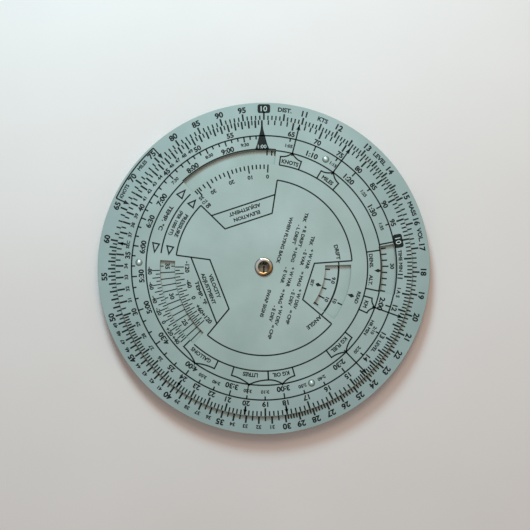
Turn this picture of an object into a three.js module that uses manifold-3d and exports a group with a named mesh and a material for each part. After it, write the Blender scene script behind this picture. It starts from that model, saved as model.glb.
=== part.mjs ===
// A full-size metal flight computer. The front is a circular slide rule: a computer disc with
// four windows turns on an eyelet over a fixed base plate. The back is the wind side: a clear
// azimuth window turns in a bezel, over a grid slide that runs in a channel between two rails.
// Millimetres. +Z is up and the front faces up, +Y points to the top of the dial, and the origin
// is the middle of the lowest face. Bearings are degrees clockwise from +Y, seen from the front.

import Module from 'manifold-3d';
import * as THREE from 'three';
import { mergeVertices } from 'three/addons/utils/BufferGeometryUtils.js';

// ---- driving dimensions ----

const PLATE_RADIUS = 70;
const ROUND_SIDES = 88;
const ARC_STEP_DEG = 4;

// The layers, from the back face up, with the thickness of each.
const LAYERS = stackUp([
  ['bezel', 0.8],
  ['backFrame', 1.0],
  ['channelPlate', 0.5],
  ['rail', 1.9],
  ['basePlate', 1.0],
  ['discWasher', 0.25],
  ['discGap', 0.05],
  ['disc', 0.8],
  ['eyeletGap', 0.05],
  ['eyeletRoll', 0.75],
]);

const DISC_RADIUS = 62.4;
const DISC_BORE_RADIUS = 3.05;
const DISC_TURN_AT_REST = -0.8;

// The disc's windows, as radii and bearings measured on the disc itself.
const DISC_WINDOWS = {
  altitude: { inner: 43.6, outer: 49.5, from: -42.6, to: 6.7 },
  airspeed: { inner: 37.4, outer: 43.6, from: 223.3, to: 274.5 },
  density: { inner: 49.7, outer: 55.4, from: 80.8, to: 102.9 },
  drift: { inner: 25.8, outer: 36.6, from: 89.5, to: 127.4 },
};

const GRIP_DOME = { radius: 1.7, height: 0.5, orbit: 52.5, bearings: [30.7, 158.5, 272.8] };
const DOME_SIDES = 16;
const CROWN_STEPS = 3;

const EYELET = {
  holeRadius: 2.25,
  barrelRadius: 2.95,
  rollRadius: 3.85,
  footRadius: 4.3,
  footHeight: 0.35,
  sides: 32,
};
const WASHER_HOLE_RADIUS = 3.1;
const DISC_WASHER_RADIUS = 9;
const EYELET_WASHER_RADIUS = 6;
const EYELET_WASHER_HEIGHT = 0.35;

const BACK_OPENING_RADIUS = 57.4;
const CHANNEL_OPENING_RADIUS = 52;
const THUMB_NOTCH = { radius: 9, offset: 72 };

const BEZEL = { inner: 54.5, outer: 63 };
const AZIMUTH_RING = {
  inner: 44,
  rebate: 46.2,
  grip: 54.2,
  flange: 57.2,
  gripBottom: 0.25,
  ledge: 1.1,
  flangeBottom: 0.95,
  top: 1.7,
};
const AZIMUTH_WINDOW_RADIUS = 46;
const GROMMET = { hole: 0.5, barrel: 0.95, flange: 2.2, bottom: 0.8, top: 1.95, sides: 16 };
const WINDOW_HOLE_RADIUS = 1;

const SLIDE = { halfWidth: 40, endRadius: 69.5, bottom: 2.55, top: 3.35 };
const RAIL_EDGE = 40.3;
const SPRING_POCKET = { depth: 2.3, halfLength: 16 };
const SPRING = { thickness: 0.3, halfLength: 15.6, clearance: 0.05, bottom: 2.45, top: 4.05 };

const FRAME_SCREW = {
  orbit: 66.5,
  bearings: [54, 78, 102, 126, 234, 258, 282, 306],
  headRadius: 1.7,
  headHeight: 0.65,
  shankRadius: 0.9,
  holeRadius: 1.05,
  biteDepth: 0.65,
};
const BEZEL_SCREW = {
  orbit: 60.5,
  bearings: [0, 60, 120, 180, 240, 300],
  headRadius: 1.5,
  headHeight: 0.4,
  counterboreRadius: 1.7,
  counterboreDepth: 0.5,
  shankRadius: 0.8,
  holeRadius: 0.95,
  biteDepth: 0.9,
};
const SCREW_SIDES = 10;
const SCREW_SLOT_WIDTH = 0.4;
const SCREW_SLOT_SHARE = 0.45;

// ---- finishes ----

const FINISHES = {
  dialPaint: { color: 0xa5b6b0, roughness: 0.45, metalness: 0.1 },
  backPaint: { color: 0x9dafaa, roughness: 0.5, metalness: 0.1 },
  aluminium: { color: 0xb9bec0, roughness: 0.4, metalness: 0.9 },
  nickel: { color: 0xd8dadb, roughness: 0.15, metalness: 1 },
  steel: { color: 0xa9acae, roughness: 0.3, metalness: 1 },
  clearPlastic: { color: 0xdfe9ea, roughness: 0.2, metalness: 0, transparent: true, opacity: 0.4 },
  nylon: { color: 0xe6e4dc, roughness: 0.6, metalness: 0 },
};

// ---- points and outlines ----

function stackUp(thicknesses) {
  const levels = {};
  let bottom = 0;
  for (const [name, thickness] of thicknesses) {
    const top = Number((bottom + thickness).toFixed(3));
    levels[name] = { bottom, top };
    bottom = top;
  }
  return levels;
}

function polar(radius, bearingDeg) {
  const turn = THREE.MathUtils.degToRad(bearingDeg);
  return new THREE.Vector2(radius * Math.sin(turn), radius * Math.cos(turn));
}

function arc(radius, fromDeg, toDeg, steps) {
  const points = [];
  for (let i = 0; i <= steps; i += 1) {
    points.push(polar(radius, fromDeg + ((toDeg - fromDeg) * i) / steps));
  }
  return points;
}

function circle(radius, sides = ROUND_SIDES, centre = new THREE.Vector2()) {
  return arc(radius, 0, 360, sides)
    .slice(0, sides)
    .map((point) => point.add(centre));
}

function sector({ inner, outer, from, to }) {
  const steps = Math.ceil((to - from) / ARC_STEP_DEG);
  return [...arc(outer, from, to, steps), ...arc(inner, to, from, steps)];
}

// ---- solids ----

const wasm = await Module();
wasm.setup();

// Holes may be listed either way round once the outline itself runs anticlockwise.
function plate(outline, { bottom, top }, holes = []) {
  const anticlockwise = THREE.ShapeUtils.isClockWise(outline) ? outline.toReversed() : outline;
  const shape = new THREE.Shape(anticlockwise);
  shape.holes = holes.map((hole) => new THREE.Path(hole));
  const geometry = new THREE.ExtrudeGeometry(shape, { depth: top - bottom, bevelEnabled: false });
  return geometry.translate(0, 0, bottom);
}

// A closed profile of [radius, height] pairs, listed anticlockwise, turned about Z.
function turned(profile, sides = ROUND_SIDES) {
  const points = [...profile, profile[0]].map(([radius, height]) => new THREE.Vector2(radius, height));
  return new THREE.LatheGeometry(points, sides).rotateX(Math.PI / 2);
}

function post(radius, { bottom, top }, centre, sides = SCREW_SIDES) {
  return plate(circle(radius, sides, centre), { bottom, top });
}

function solidOf(geometry) {
  const bare = geometry.clone();
  bare.deleteAttribute('normal');
  bare.deleteAttribute('uv');
  const merged = mergeVertices(bare, 1e-3);
  return new wasm.Manifold(
    new wasm.Mesh({
      numProp: 3,
      vertProperties: merged.getAttribute('position').array,
      triVerts: Uint32Array.from(merged.getIndex().array),
    }),
  );
}

function geometryOf(solid) {
  const { vertProperties, triVerts } = solid.getMesh();
  const geometry = new THREE.BufferGeometry();
  geometry.setAttribute('position', new THREE.BufferAttribute(vertProperties, 3));
  geometry.setIndex(new THREE.BufferAttribute(triVerts, 1));
  return geometry;
}

function cut(geometry, tools) {
  return geometryOf(tools.reduce((solid, tool) => solid.subtract(solidOf(tool)), solidOf(geometry)));
}

function join(geometry, extras) {
  return geometryOf(extras.reduce((solid, extra) => solid.add(solidOf(extra)), solidOf(geometry)));
}

function screwCentres({ orbit, bearings }) {
  return bearings.map((bearing) => polar(orbit, bearing));
}

function screwHoles(screw, sides = SCREW_SIDES) {
  return screwCentres(screw).map((centre) => circle(screw.holeRadius, sides, centre));
}

// ---- front: computer side ----

// The fixed plate with the outer scale. Its screw holes are blind, so its face is unbroken.
function basePlate() {
  const { bottom, top } = LAYERS.basePlate;
  const disc = plate(circle(PLATE_RADIUS), LAYERS.basePlate, [circle(DISC_BORE_RADIUS, EYELET.sides)]);
  const holeDepth = { bottom: bottom - 1, top: top - 0.3 };
  const holes = screwCentres(FRAME_SCREW).map((centre) => post(FRAME_SCREW.holeRadius, holeDepth, centre));
  return cut(disc, holes);
}

// A low spherical cap on the disc's face, with a short root inside the disc.
function gripDome(bearing) {
  const { radius, height, orbit } = GRIP_DOME;
  const sphereRadius = (radius ** 2 + height ** 2) / (2 * height);
  const centre = polar(orbit, bearing);
  const face = LAYERS.disc.top;
  const rootBottom = face - 0.2;
  const profile = [[0, rootBottom], [radius, rootBottom]];
  for (let i = 0; i <= CROWN_STEPS; i += 1) {
    const across = radius * (1 - i / CROWN_STEPS);
    profile.push([across, face + Math.sqrt(sphereRadius ** 2 - across ** 2) - sphereRadius + height]);
  }
  return turned(profile, DOME_SIDES).translate(centre.x, centre.y, 0);
}

function computerDisc() {
  const windows = Object.values(DISC_WINDOWS).map(({ inner, outer, from, to }) =>
    sector({ inner, outer, from: from + DISC_TURN_AT_REST, to: to + DISC_TURN_AT_REST }),
  );
  const bore = circle(DISC_BORE_RADIUS, EYELET.sides);
  const disc = plate(circle(DISC_RADIUS), LAYERS.disc, [bore, ...windows]);
  return join(disc, GRIP_DOME.bearings.map((bearing) => gripDome(bearing + DISC_TURN_AT_REST)));
}

// The rolled eyelet that the disc turns on. Its foot is turned out under the base plate.
function pivotEyelet() {
  const { holeRadius, barrelRadius, rollRadius, footRadius, footHeight, sides } = EYELET;
  const footTop = LAYERS.basePlate.bottom - EYELET_WASHER_HEIGHT;
  const footBottom = footTop - footHeight;
  const { bottom: rollBottom, top: rollTop } = LAYERS.eyeletRoll;
  const crownRadius = (rollTop - rollBottom) / 2;
  const crown = [];
  for (let i = 0; i <= CROWN_STEPS; i += 1) {
    const turn = (i * Math.PI) / (2 * CROWN_STEPS);
    crown.push([
      rollRadius - crownRadius * (1 - Math.cos(turn)),
      rollBottom + crownRadius * (1 + Math.sin(turn)),
    ]);
  }
  return turned(
    [
      [holeRadius, footBottom],
      [footRadius, footBottom],
      [footRadius, footTop],
      [barrelRadius, footTop],
      [barrelRadius, rollBottom],
      [rollRadius - 0.2, rollBottom],
      ...crown,
      [holeRadius + 0.4, rollTop],
      [holeRadius, rollTop - 0.4],
    ],
    sides,
  );
}

function discWasher() {
  return plate(circle(DISC_WASHER_RADIUS, EYELET.sides), LAYERS.discWasher, [
    circle(WASHER_HOLE_RADIUS, EYELET.sides),
  ]);
}

function eyeletWasher() {
  const top = LAYERS.basePlate.bottom;
  return plate(circle(EYELET_WASHER_RADIUS, EYELET.sides), { bottom: top - EYELET_WASHER_HEIGHT, top }, [
    circle(WASHER_HOLE_RADIUS, EYELET.sides),
  ]);
}

// ---- middle: slide channel ----

// A circle segment beyond the slide's edge, with a pocket for its spring. side is +1 or -1 along X.
function rail(side) {
  const reachDeg = THREE.MathUtils.radToDeg(Math.acos(RAIL_EDGE / PLATE_RADIUS));
  const { depth, halfLength } = SPRING_POCKET;
  const outline = [
    ...arc(PLATE_RADIUS, 90 - reachDeg, 90 + reachDeg, 24),
    new THREE.Vector2(RAIL_EDGE, -halfLength),
    new THREE.Vector2(RAIL_EDGE + depth, -halfLength),
    new THREE.Vector2(RAIL_EDGE + depth, halfLength),
    new THREE.Vector2(RAIL_EDGE, halfLength),
  ].map((point) => new THREE.Vector2(side * point.x, point.y));
  const holes = screwCentres(FRAME_SCREW)
    .filter((centre) => centre.x * side > 0)
    .map((centre) => circle(FRAME_SCREW.holeRadius, SCREW_SIDES, centre));
  return plate(outline, LAYERS.rail, holes);
}

// A bowed leaf in the rail's pocket. Its crest bears on the slide's edge.
function slideSpring(side) {
  const { thickness, halfLength, clearance, bottom, top } = SPRING;
  const crest = SLIDE.halfWidth + clearance;
  const bow = RAIL_EDGE + SPRING_POCKET.depth - clearance - thickness - crest;
  const inner = [];
  const outer = [];
  for (let i = -8; i <= 8; i += 1) {
    const share = i / 8;
    const x = crest + bow * share ** 2;
    inner.push(new THREE.Vector2(side * x, halfLength * share));
    outer.unshift(new THREE.Vector2(side * (x + thickness), halfLength * share));
  }
  return plate([...inner, ...outer], { bottom, top });
}

function windSlide() {
  const reachDeg = THREE.MathUtils.radToDeg(Math.asin(SLIDE.halfWidth / SLIDE.endRadius));
  const outline = [
    ...arc(SLIDE.endRadius, -reachDeg, reachDeg, 16),
    ...arc(SLIDE.endRadius, 180 - reachDeg, 180 + reachDeg, 16),
  ];
  return plate(outline, SLIDE);
}

// ---- back: wind side ----

// A disc outline with a thumb notch at its top and bottom, where the slide's ends can be reached.
function notchedOutline() {
  const { radius, offset } = THUMB_NOTCH;
  const meetCos = (PLATE_RADIUS ** 2 + offset ** 2 - radius ** 2) / (2 * PLATE_RADIUS * offset);
  const meetDeg = THREE.MathUtils.radToDeg(Math.acos(meetCos));
  const meet = polar(PLATE_RADIUS, meetDeg);
  const notchHalfDeg = THREE.MathUtils.radToDeg(Math.atan2(meet.x, offset - meet.y));
  const halfOutline = [
    ...arc(PLATE_RADIUS, meetDeg, 180 - meetDeg, 40),
    ...arc(radius, notchHalfDeg, -notchHalfDeg, 8)
      .slice(1, -1)
      .map((point) => new THREE.Vector2(point.x, point.y - offset)),
  ];
  const otherHalf = halfOutline.map((point) => new THREE.Vector2(-point.x, -point.y));
  return [...halfOutline, ...otherHalf];
}

function channelPlate() {
  return plate(notchedOutline(), LAYERS.channelPlate, [
    circle(CHANNEL_OPENING_RADIUS),
    ...screwHoles(FRAME_SCREW),
  ]);
}

function backFrame() {
  return plate(notchedOutline(), LAYERS.backFrame, [
    circle(BACK_OPENING_RADIUS),
    ...screwHoles(FRAME_SCREW),
    ...screwHoles(BEZEL_SCREW),
  ]);
}

// The flat ring that holds the azimuth in. Its screw heads sit in counterbores.
function azimuthBezel() {
  const ring = plate(circle(BEZEL.outer), LAYERS.bezel, [circle(BEZEL.inner), ...screwHoles(BEZEL_SCREW)]);
  const sunk = { bottom: -1, top: BEZEL_SCREW.counterboreDepth };
  const counterbores = screwCentres(BEZEL_SCREW).map((centre) =>
    post(BEZEL_SCREW.counterboreRadius, sunk, centre),
  );
  return cut(ring, counterbores);
}

function azimuthRing() {
  const { inner, rebate, grip, flange, gripBottom, ledge, flangeBottom, top } = AZIMUTH_RING;
  return turned([
    [inner, gripBottom],
    [grip, gripBottom],
    [grip, flangeBottom],
    [flange, flangeBottom],
    [flange, top],
    [rebate, top],
    [rebate, ledge],
    [inner, ledge],
  ]);
}

function azimuthWindow() {
  const { ledge, top } = AZIMUTH_RING;
  return plate(circle(AZIMUTH_WINDOW_RADIUS), { bottom: ledge, top }, [
    circle(WINDOW_HOLE_RADIUS, GROMMET.sides),
  ]);
}

// The flanged eye at the middle of the window, where the wind dot is read.
function azimuthGrommet() {
  const { hole, barrel, flange, bottom, top, sides } = GROMMET;
  const { ledge, top: windowTop } = AZIMUTH_RING;
  return turned(
    [
      [hole, bottom],
      [flange, bottom],
      [flange, ledge],
      [barrel, ledge],
      [barrel, windowTop],
      [flange, windowTop],
      [flange, top],
      [hole, top],
    ],
    sides,
  );
}

// ---- screws ----

// A slotted screw put in from the back: its head is below seatHeight and its shank above.
function slottedScrew({ headRadius, headHeight, shankRadius }, seatHeight, shankTop, centre) {
  const headBottom = seatHeight - headHeight;
  const chamfer = headHeight / 3;
  const body = turned(
    [
      [0, headBottom],
      [headRadius - chamfer, headBottom],
      [headRadius, headBottom + chamfer],
      [headRadius, seatHeight],
      [shankRadius, seatHeight],
      [shankRadius, shankTop],
      [0, shankTop],
    ],
    SCREW_SIDES,
  );
  const slot = new THREE.BoxGeometry(3 * headRadius, SCREW_SLOT_WIDTH, 2 * SCREW_SLOT_SHARE * headHeight);
  slot.translate(0, 0, headBottom);
  return cut(body, [slot]).translate(centre.x, centre.y, 0);
}

function frameScrew(centre) {
  const shankTop = LAYERS.basePlate.bottom + FRAME_SCREW.biteDepth;
  return slottedScrew(FRAME_SCREW, LAYERS.backFrame.bottom, shankTop, centre);
}

function bezelScrew(centre) {
  const shankTop = LAYERS.backFrame.bottom + BEZEL_SCREW.biteDepth;
  return slottedScrew(BEZEL_SCREW, BEZEL_SCREW.counterboreDepth, shankTop, centre);
}

// ---- assembly ----

const flightComputer = new THREE.Group();

function addPiece(name, geometry, finish) {
  const flat = geometry.index ? geometry.toNonIndexed() : geometry;
  flat.computeVertexNormals();
  const mesh = new THREE.Mesh(flat, new THREE.MeshStandardMaterial(finish));
  mesh.name = name;
  flightComputer.add(mesh);
}

addPiece('base_plate', basePlate(), FINISHES.dialPaint);
addPiece('computer_disc', computerDisc(), FINISHES.dialPaint);
addPiece('disc_washer', discWasher(), FINISHES.nylon);
addPiece('pivot_eyelet', pivotEyelet(), FINISHES.nickel);
addPiece('eyelet_washer', eyeletWasher(), FINISHES.steel);

for (const [name, side] of [['left', -1], ['right', 1]]) {
  addPiece(`rail_${name}`, rail(side), FINISHES.aluminium);
  addPiece(`slide_spring_${name}`, slideSpring(side), FINISHES.steel);
}
addPiece('wind_slide', windSlide(), FINISHES.aluminium);
addPiece('channel_plate', channelPlate(), FINISHES.aluminium);

addPiece('back_frame', backFrame(), FINISHES.backPaint);
addPiece('azimuth_bezel', azimuthBezel(), FINISHES.backPaint);
addPiece('azimuth_ring', azimuthRing(), FINISHES.aluminium);
addPiece('azimuth_window', azimuthWindow(), FINISHES.clearPlastic);
addPiece('azimuth_grommet', azimuthGrommet(), FINISHES.nickel);

screwCentres(FRAME_SCREW).forEach((centre, index) => {
  addPiece(`frame_screw_${index + 1}`, frameScrew(centre), FINISHES.steel);
});
screwCentres(BEZEL_SCREW).forEach((centre, index) => {
  addPiece(`bezel_screw_${index + 1}`, bezelScrew(centre), FINISHES.steel);
});

export default flightComputer;
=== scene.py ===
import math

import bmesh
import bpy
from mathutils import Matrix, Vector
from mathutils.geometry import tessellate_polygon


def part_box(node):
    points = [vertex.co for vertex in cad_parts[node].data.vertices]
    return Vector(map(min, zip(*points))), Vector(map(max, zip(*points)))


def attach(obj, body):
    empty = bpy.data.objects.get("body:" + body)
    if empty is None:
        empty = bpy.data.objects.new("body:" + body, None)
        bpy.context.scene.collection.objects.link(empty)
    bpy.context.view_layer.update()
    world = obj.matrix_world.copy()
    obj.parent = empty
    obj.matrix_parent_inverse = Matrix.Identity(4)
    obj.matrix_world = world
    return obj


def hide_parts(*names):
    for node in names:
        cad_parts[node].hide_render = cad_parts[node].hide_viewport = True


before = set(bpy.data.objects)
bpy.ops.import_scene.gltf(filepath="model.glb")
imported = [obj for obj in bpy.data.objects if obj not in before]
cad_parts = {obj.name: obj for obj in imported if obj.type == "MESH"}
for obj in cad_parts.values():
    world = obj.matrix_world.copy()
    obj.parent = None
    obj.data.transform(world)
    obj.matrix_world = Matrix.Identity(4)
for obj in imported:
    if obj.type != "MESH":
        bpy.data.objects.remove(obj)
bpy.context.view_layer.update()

# The looks of a metal flight computer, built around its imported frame.
# Front: a computer disc with four windows turns on an eyelet over the base plate.
# Back: a clear azimuth window turns in a bezel, over a sliding wind grid.
# Drawing is in millimetres and meshes are in metres. A bearing is in degrees clockwise from +Y,
# seen from the side that the drawing faces.

MM = 0.001


def level(node):
    """The node's underside and top face, in millimetres."""
    low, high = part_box(node)
    return low.z / MM, high.z / MM


def radius_of(node):
    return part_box(node)[1].x / MM


# ---- the frame's own sizes ----

PLATE_RADIUS = radius_of("base_plate")
DISC_RADIUS = radius_of("computer_disc")
BEZEL_RADIUS = radius_of("azimuth_bezel")
SLIDE_HALF_WIDTH = radius_of("wind_slide")
SLIDE_END_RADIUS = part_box("wind_slide")[1].y / MM
DOME_HEIGHT = 0.5
DISC_FACE = level("computer_disc")[1] - DOME_HEIGHT
DISC_TURN_AT_REST = -0.8

# ---- sizes that the frame shares but doesn't state ----

DISC_BORE = 3.05
WASHER_BORE = 3.1
BACK_OPENING = 57.4
CHANNEL_OPENING = 52.0
BEZEL_OPENING = 54.5
RAIL_EDGE = 40.3
THUMB_NOTCH_RADIUS = 9.0
THUMB_NOTCH_OFFSET = 72.0
FRAME_SCREW_ORBIT = 66.5
FRAME_SCREW_BEARINGS = (54, 78, 102, 126, 234, 258, 282, 306)
BEZEL_SCREW_ORBIT = 60.5
BEZEL_SCREW_BEARINGS = (0, 60, 120, 180, 240, 300)
DOME_ORBIT = 52.5
DOME_BEARINGS = (30.7, 158.5, 272.8)
EYELET_ROLL = 3.85

# Each disc window as inner and outer radius, and the bearings of its ends on the disc.
ALTITUDE_WINDOW = (43.6, 49.5, -42.6, 6.7)
AIRSPEED_WINDOW = (37.4, 43.6, 223.3, 274.5)
DENSITY_WINDOW = (49.7, 55.4, 80.8, 102.9)
DRIFT_WINDOW = (25.8, 36.6, 89.5, 127.4)

# ---- looks ----

ROUND_STEPS = 360
BORE_STEPS = 96
BEVEL_STEPS = 2
SMOOTH_FLAT_DEG = 20
SMOOTH_TURNED_DEG = 35
INK_HEIGHT = 0.014
INK_ROOT = 0.006
HAIRLINE = 0.44
FINE_LINE = 0.6
BOLD_LINE = 0.75
LETTER_BOLDNESS = 0.042
PALE_BOLDNESS = 0.0
LETTER_SPREAD = 1.08


# ---- materials ----

def linear(hex_colour):
    """A display colour such as "A5B6B0" as linear red, green, blue and alpha."""
    channels = [int(hex_colour[i:i + 2], 16) / 255 for i in (0, 2, 4)]
    return (*[c / 12.92 if c <= 0.04045 else ((c + 0.055) / 1.055) ** 2.4 for c in channels], 1)


class Surface:
    """A Principled material built up from procedural layers."""

    def __init__(self, name, metallic=0.0, **sockets):
        self.material = bpy.data.materials.new(name)
        self.material.use_nodes = True
        self.tree = self.material.node_tree
        self.shader = self.tree.nodes["Principled BSDF"]
        self.shader.inputs["Metallic"].default_value = metallic
        for socket, value in sockets.items():
            self.shader.inputs[socket.replace("_", " ")].default_value = value
        self.place = self.node("TexCoord").outputs["Object"]

    def node(self, kind, values=(), sources=(), **settings):
        """A new shader node. values and sources are dictionaries by input socket."""
        made = self.tree.nodes.new(f"ShaderNode{kind}")
        for setting, choice in settings.items():
            setattr(made, setting, choice)
        for socket, value in dict(values).items():
            made.inputs[socket].default_value = value
        for socket, source in dict(sources).items():
            self.tree.links.new(source, made.inputs[socket])
        return made

    def drive(self, socket, source):
        self.tree.links.new(source, self.shader.inputs[socket])

    def grain(self, scale, detail=4.0, stretch=(1, 1, 1)):
        """A noise value. scale is in features per metre."""
        mapping = self.node("Mapping", {"Scale": stretch}, {"Vector": self.place})
        source = {"Vector": mapping.outputs["Vector"]}
        return self.node("TexNoise", {"Scale": scale, "Detail": detail}, source).outputs["Fac"]

    def rings(self, scale):
        """Turning marks round Z. scale is in rings per metre."""
        values = {"Scale": scale, "Distortion": 1.5}
        source = {"Vector": self.place}
        return self.node("TexWave", values, source, wave_type="RINGS", rings_direction="Z").outputs["Fac"]

    def uneven(self, value, wobble, noise):
        """The value with a share of the noise added."""
        total = self.node("Math", {1: wobble}, {0: noise, 2: value}, operation="MULTIPLY_ADD")
        return total.outputs["Value"]

    def reach(self, full_mm, wobble):
        """The distance from the Z axis as a share of full_mm, with noise on it."""
        share = 1 / (full_mm * MM)
        flat = self.node("VectorMath", {1: (share, share, 0)}, {0: self.place}, operation="MULTIPLY")
        length = self.node("VectorMath", sources={0: flat.outputs["Vector"]}, operation="LENGTH")
        return self.uneven(length.outputs["Value"], wobble, self.grain(900, 4))

    def height(self, low_mm, high_mm):
        """How far a point is up from one height to another, from 0 to 1."""
        split = self.node("SeparateXYZ", sources={0: self.place})
        limits = {"From Min": low_mm * MM, "From Max": high_mm * MM}
        return self.node("MapRange", limits, {"Value": split.outputs["Z"]}).outputs["Result"]

    def along(self, direction, full_mm, wobble):
        """How far a point lies in one direction, 0 to 1 from one side to the other, with noise."""
        scaled = Vector(direction) / (2 * full_mm * MM)
        share = self.node("VectorMath", {1: scaled}, {0: self.place}, operation="DOT_PRODUCT")
        centred = self.node("Math", {1: 0.5 - wobble / 2}, {0: share.outputs["Value"]})
        return self.uneven(centred.outputs["Value"], wobble, self.grain(500, 3))

    def blend(self, value, *stops):
        """value through a colour ramp. stops are (position, display colour) pairs."""
        ramp = self.node("ValToRGB", sources={"Fac": value})
        shades = ramp.color_ramp.elements
        for shade, (position, colour) in zip((shades[0], shades[1]), (stops[0], stops[-1])):
            shade.position = position
            shade.color = linear(colour)
        for position, colour in stops[1:-1]:
            shades.new(position).color = linear(colour)
        return ramp.outputs["Color"]

    def colour(self, value, *stops):
        self.drive("Base Color", self.blend(value, *stops))

    def multiply(self, first, second):
        """The base colour as the product of two colours."""
        colours = {"Color1": first, "Color2": second}
        mix = self.node("MixRGB", {"Fac": 1.0}, colours, blend_type="MULTIPLY")
        self.drive("Base Color", mix.outputs["Color"])

    def roughness(self, value, low, high):
        limits = {"From Min": 0.3, "From Max": 0.7, "To Min": low, "To Max": high}
        self.drive("Roughness", self.node("MapRange", limits, {"Value": value}).outputs["Result"])

    def relief(self, value, depth_mm):
        bump = self.node("Bump", {"Distance": depth_mm * MM}, {"Height": value})
        self.drive("Normal", bump.outputs["Normal"])


def enamel(name, dark, mid, light):
    """Satin paint on sheet metal: faint clouds, a rim darker from handling, and spray texture."""
    paint = Surface(name, metallic=0.1)
    clouds = paint.blend(paint.grain(55, 6), (0.3, dark), (0.52, mid), (0.72, light))
    from_centre = paint.reach(PLATE_RADIUS, 0.05)
    handling = paint.blend(from_centre, (0.25, "FFFFFF"), (0.68, "F7F9F9"), (1.0, "E9EFF2"))
    paint.multiply(clouds, handling)
    paint.roughness(paint.grain(90, 8), 0.42, 0.56)
    paint.relief(paint.grain(2600, 3), 0.008)
    return paint.material


def rubbed(name, low_mm, high_mm):
    """Enamel bumps between two heights, darker at the foot as painted shade and lighter on the crown as a
    painted highlight.
    """
    paint = Surface(name, metallic=0.35)
    up = paint.height(low_mm, high_mm)
    # painted shade at the foot, rising to a painted highlight on the crown
    paint.colour(up, (0.05, "5F6A63"), (0.30, "8D9A93"), (0.60, "AEBDB8"), (0.95, "CBD9D5"))
    paint.roughness(paint.grain(2200, 3), 0.26, 0.36)
    paint.relief(paint.grain(2600, 3), 0.004)
    return paint.material


def worn_edge(name, paint, metal):
    """A cut edge where the paint has worn through to the metal in places."""
    edge = Surface(name, metallic=0.2)
    edge.colour(edge.grain(420, 6), (0.46, paint), (0.6, metal))
    edge.roughness(edge.grain(900, 4), 0.5, 0.68)
    edge.relief(edge.grain(3000, 3), 0.01)
    return edge.material


def brushed(name, dark, light, stretch):
    """Bare metal with fine brush lines along one axis."""
    metal = Surface(name, metallic=1.0)
    lines = metal.grain(900, 6, stretch)
    metal.colour(lines, (0.3, dark), (0.7, light))
    metal.roughness(lines, 0.26, 0.44)
    metal.relief(lines, 0.01)
    return metal.material


def spun(name, dark, light, roughness):
    """Plated or turned metal with faint rings and small tarnish spots."""
    metal = Surface(name, metallic=1.0)
    metal.colour(metal.grain(700, 5), (0.32, dark), (0.55, light))
    metal.roughness(metal.grain(1500, 4), *roughness)
    metal.relief(metal.rings(1400), 0.002)
    return metal.material


def tarnished_nickel(name):
    """Plated eyelet with painted light: painted brown shade in the bore, round the foot and in the crease,
    a painted highlight on the crown, and a painted orange and brown reflection at its lower right.
    """
    metal = Surface(name, metallic=0.8)
    # bore, foot and crease are painted shade; crown and shoulder are a painted highlight
    bore, lip = (0.50, "2A2013"), (0.56, "A58660")
    crown, shoulder = (0.62, "F2F2EE"), (0.78, "DCDCD8")
    foot, crease = (0.84, "6A6258"), (0.90, "26241F")
    from_centre = metal.reach(4.5, 0.06)
    to_lower_right = metal.along((0.55, -0.85, 0), EYELET_ROLL, 0.3)
    # the last two stops, towards the lower right, are a painted orange and brown reflection
    bright, pale, orange_glint, brown = (0.15, "FFFFFF"), (0.50, "E6DFD2"), (0.70, "E8B57E"), (0.95, "8A6C4A")
    ring_light_and_shade = metal.blend(from_centre, bore, lip, crown, shoulder, foot, crease)
    metal.multiply(ring_light_and_shade, metal.blend(to_lower_right, bright, pale, orange_glint, brown))
    metal.roughness(metal.grain(1500, 4), 0.1, 0.22)
    metal.relief(metal.rings(1400), 0.002)
    return metal.material


def ink(name, dark, light):
    """Printing ink: nearly black, a little thin in places."""
    dye = Surface(name, Specular_IOR_Level=0.25)
    dye.colour(dye.grain(650, 5), (0.35, dark), (0.75, light))
    dye.roughness(dye.grain(1800, 3), 0.5, 0.65)
    return dye.material


def frosted_plastic(name):
    """Clear sheet with a lightly frosted writing face."""
    plastic = Surface(name, Alpha=0.16, IOR=1.49)
    plastic.colour(plastic.grain(60, 5), (0.35, "DCE8E6"), (0.7, "F3F7F5"))
    plastic.roughness(plastic.grain(1600, 4), 0.22, 0.4)
    plastic.relief(plastic.grain(3500, 3), 0.004)
    return plastic.material


def nylon(name):
    plastic = Surface(name, Subsurface_Weight=0.1)
    plastic.colour(plastic.grain(400, 5), (0.35, "D9D5C8"), (0.7, "ECE9DF"))
    plastic.roughness(plastic.grain(1200, 3), 0.5, 0.65)
    return plastic.material


def ground(name):
    surface = Surface(name)
    surface.colour(surface.grain(9, 4), (0.3, "DACECA"), (0.7, "E0D4D0"))
    surface.roughness(surface.grain(20, 3), 0.65, 0.8)
    return surface.material


FACE_PAINT = enamel("face_enamel", "9CAAA4", "A3B0AB", "AAB7B3")
BACK_PAINT = enamel("back_enamel", "98A6A0", "9FACA7", "A6B3AE")
SLIDE_PAINT = enamel("slide_enamel", "AEB2A8", "B7BBB1", "C0C4BA")
PAINT_EDGE = worn_edge("enamel_edge", "8A968C", "A08C74")
# The dome paint holds painted shade round each dome's foot and a painted highlight on its crown.
DOME_PAINTED_LIGHT = rubbed("dome_enamel_painted_light", DISC_FACE, DISC_FACE + DOME_HEIGHT)
PLATE_ALUMINIUM = brushed("brushed_aluminium", "9FA3A5", "C3C6C7", (1, 0.03, 1))
RING_ALUMINIUM = spun("spun_aluminium", "B4B8B9", "CDD0D0", (0.28, 0.4))
NICKEL = spun("nickel_plate", "B3AFA6", "E2E1DC", (0.08, 0.2))
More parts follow.
